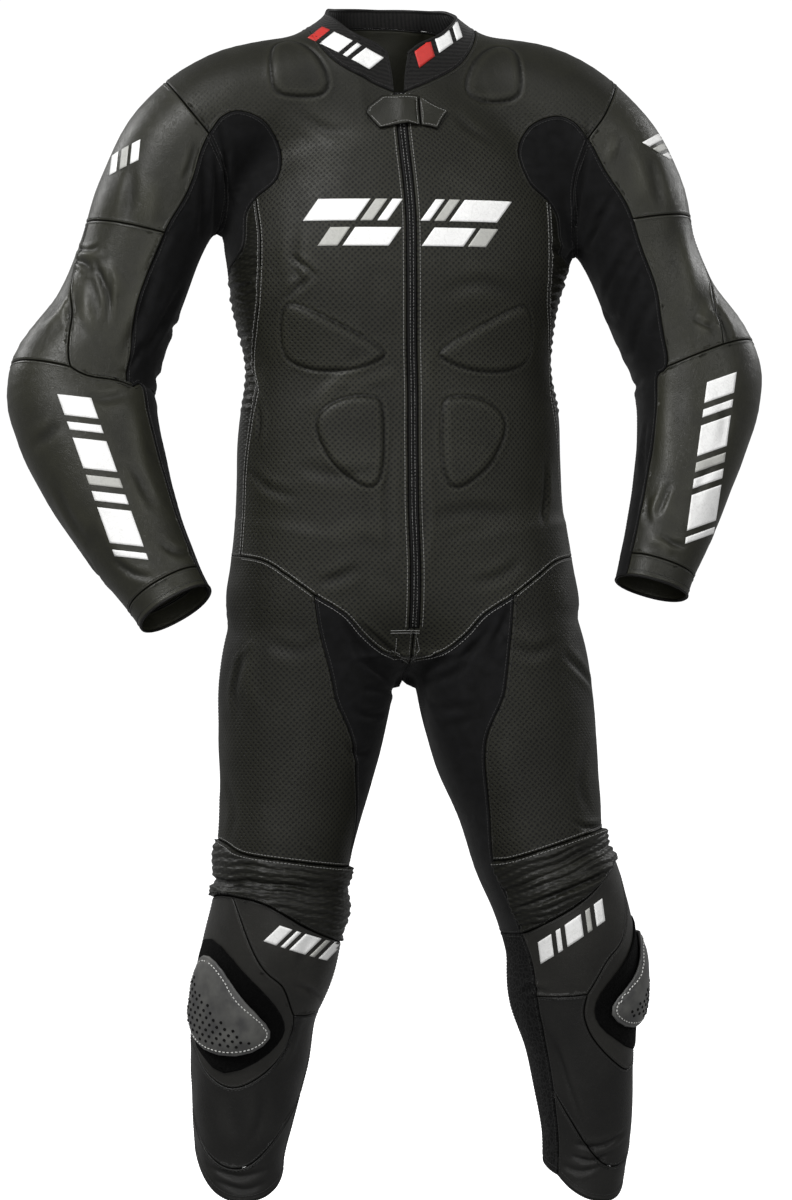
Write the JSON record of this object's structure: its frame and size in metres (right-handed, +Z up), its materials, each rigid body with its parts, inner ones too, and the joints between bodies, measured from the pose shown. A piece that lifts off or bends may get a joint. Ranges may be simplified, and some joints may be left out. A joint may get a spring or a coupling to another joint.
{
  "type": "motorcycle race suit",
  "caption": "One-piece leather motorcycle race suit, filled out as if worn but empty, with stretch panels, ribbed knees, knee sliders and a front zip.",
  "frame": {"origin": "between the shoulders at the base of the neck, inside the suit, where the wearer's shoulders carry it", "axes": "+Z up from the legs to the collar, -Y towards the suit's front, +X towards the suit's left arm"},
  "size_m": [0.901, 0.303, 1.4488],
  "materials": {
    "leather": "black cowhide, soft sheen",
    "perforated_leather": "black cowhide with small punched holes",
    "ribbed_stretch_leather": "leather gathered into ribs over elastic",
    "stretch_cloth": "matt black woven stretch cloth",
    "collar_cloth": "soft knitted collar with a bound edge",
    "zip_tape": "woven zip tape",
    "hook_tape": "fuzzy loop side of hook-and-loop tape",
    "knee_slider": "moulded plastic, satin",
    "zip_metal": "dark metal"
  },
  "bodies": {
    "root": {"ankle_left": "leather", "ankle_right": "leather", "back": "leather", "calf_back_left": "leather", "calf_back_right": "leather", "calf_stretch_left": "stretch_cloth", "calf_stretch_right": "stretch_cloth", "collar": "collar_cloth", "cuff_left": "leather", "cuff_right": "leather", "elbow_left": "leather", "elbow_right": "leather", "forearm_left": "leather", "forearm_right": "leather", "front_left": "perforated_leather", "front_right": "perforated_leather", "inner_sleeve_left": "stretch_cloth", "inner_sleeve_right": "stretch_cloth", "inner_thigh_left": "stretch_cloth", "inner_thigh_right": "stretch_cloth", "knee_cup_left": "leather", "knee_cup_right": "leather", "knee_hook_tape_left": "hook_tape", "knee_hook_tape_right": "hook_tape", "knee_inner_left": "leather", "knee_inner_right": "leather", "knee_pleats_left": "ribbed_stretch_leather", "knee_pleats_right": "ribbed_stretch_leather", "knee_slider_left": "knee_slider", "knee_slider_right": "knee_slider", "mid_sleeve_left": "leather", "mid_sleeve_right": "leather", "neck_tab_inner": "leather", "neck_tab_outer": "leather", "seat": "leather", "shin_left": "leather", "shin_right": "leather", "side_left": "ribbed_stretch_leather", "side_right": "ribbed_stretch_leather", "thigh_back_left": "leather", "thigh_back_right": "leather", "thigh_front_left": "perforated_leather", "thigh_front_right": "perforated_leather", "underarm_left": "stretch_cloth", "underarm_right": "stretch_cloth", "upper_sleeve_left": "leather", "upper_sleeve_right": "leather", "yoke": "leather", "zip_slider": "zip_metal", "zip_tape": "zip_tape"}
  },
  "joints": []
}
